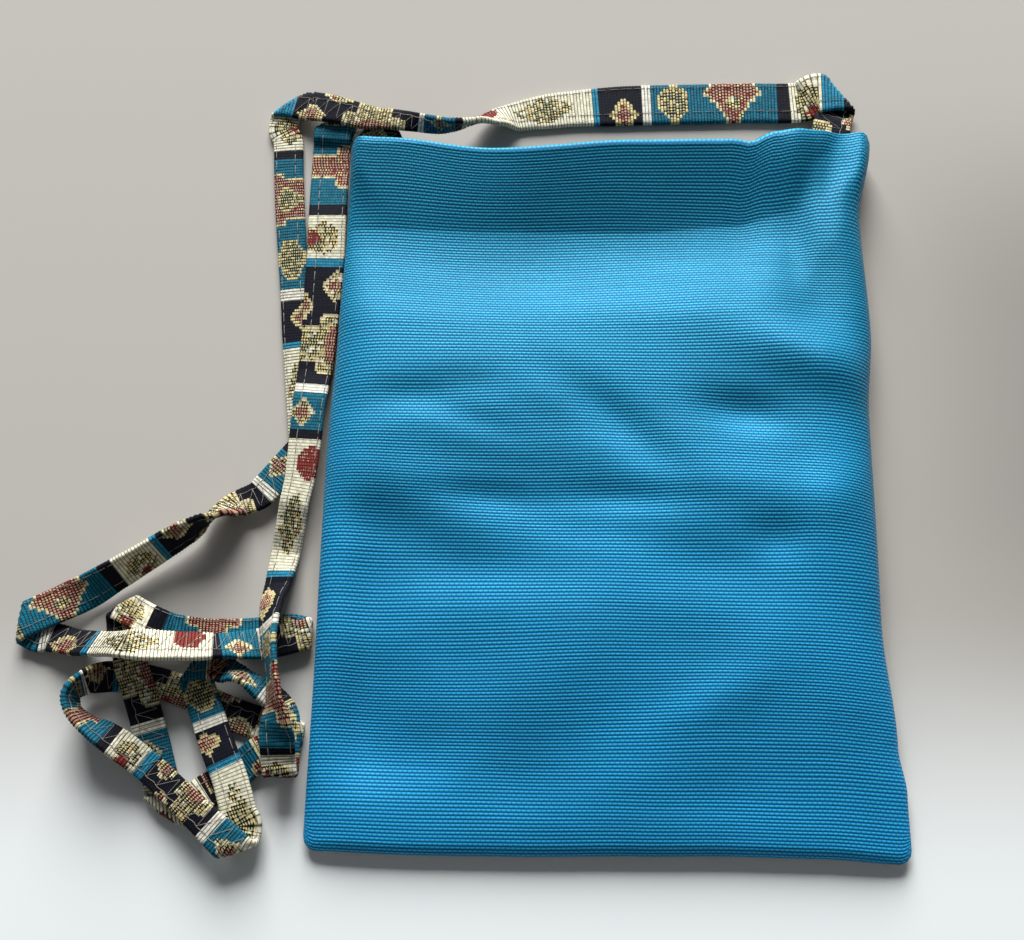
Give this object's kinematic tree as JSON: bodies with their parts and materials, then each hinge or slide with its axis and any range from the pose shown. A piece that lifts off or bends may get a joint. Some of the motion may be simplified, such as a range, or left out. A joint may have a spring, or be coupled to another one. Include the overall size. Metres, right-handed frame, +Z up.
{
  "type": "zip shoulder bag",
  "caption": "Small flat cloth pouch with a ribbed back, a woven-pattern front, a coil zip between its top hems and a long narrow woven shoulder strap lying folded beside it.",
  "frame": {"origin": "middle of the pouch on the surface it lies on, under its patterned front", "axes": "+X along the zip towards its closed end, +Y from the bottom seam to the zip, +Z up out of the ribbed back"},
  "size_m": [0.2289, 0.2247, 0.0173],
  "materials": {
    "ribbed_cloth": "bright blue ribbed cloth, soft sheen",
    "kilim_cloth": "woven kilim jacquard, matte with a few metallic yarns",
    "strap_cloth": "narrow woven kilim band, matte with a few metallic yarns",
    "zip_tape": "black woven tape",
    "zip_coil": "black nylon coil",
    "nickel": "nickel-plated, satin"
  },
  "bodies": {
    "bag": {"back_panel": "ribbed_cloth", "front_panel": "kilim_cloth", "zip_tape_back": "zip_tape", "zip_tape_front": "zip_tape", "zip_coil_back": "zip_coil", "zip_coil_front": "zip_coil", "top_stop_back": "nickel", "top_stop_front": "nickel", "bottom_stop": "nickel", "shoulder_strap": "strap_cloth"},
    "slider": {"zip_slider": "nickel"},
    "pull": {"zip_pull": "nickel"}
  },
  "joints": [
    {"name": "zip_slide", "type": "slide", "parent": "bag", "child": "slider", "axis": [-1, 0, 0], "range_m": [0, 0.105], "deforming": ["zip_coil_back", "zip_coil_front"]},
    {"name": "pull_swing", "type": "hinge", "parent": "slider", "child": "pull", "pos_m": [0.053, 0.09285, 0.0062], "axis": [0, 0, -1], "range_deg": [0, 165]}
  ]
}
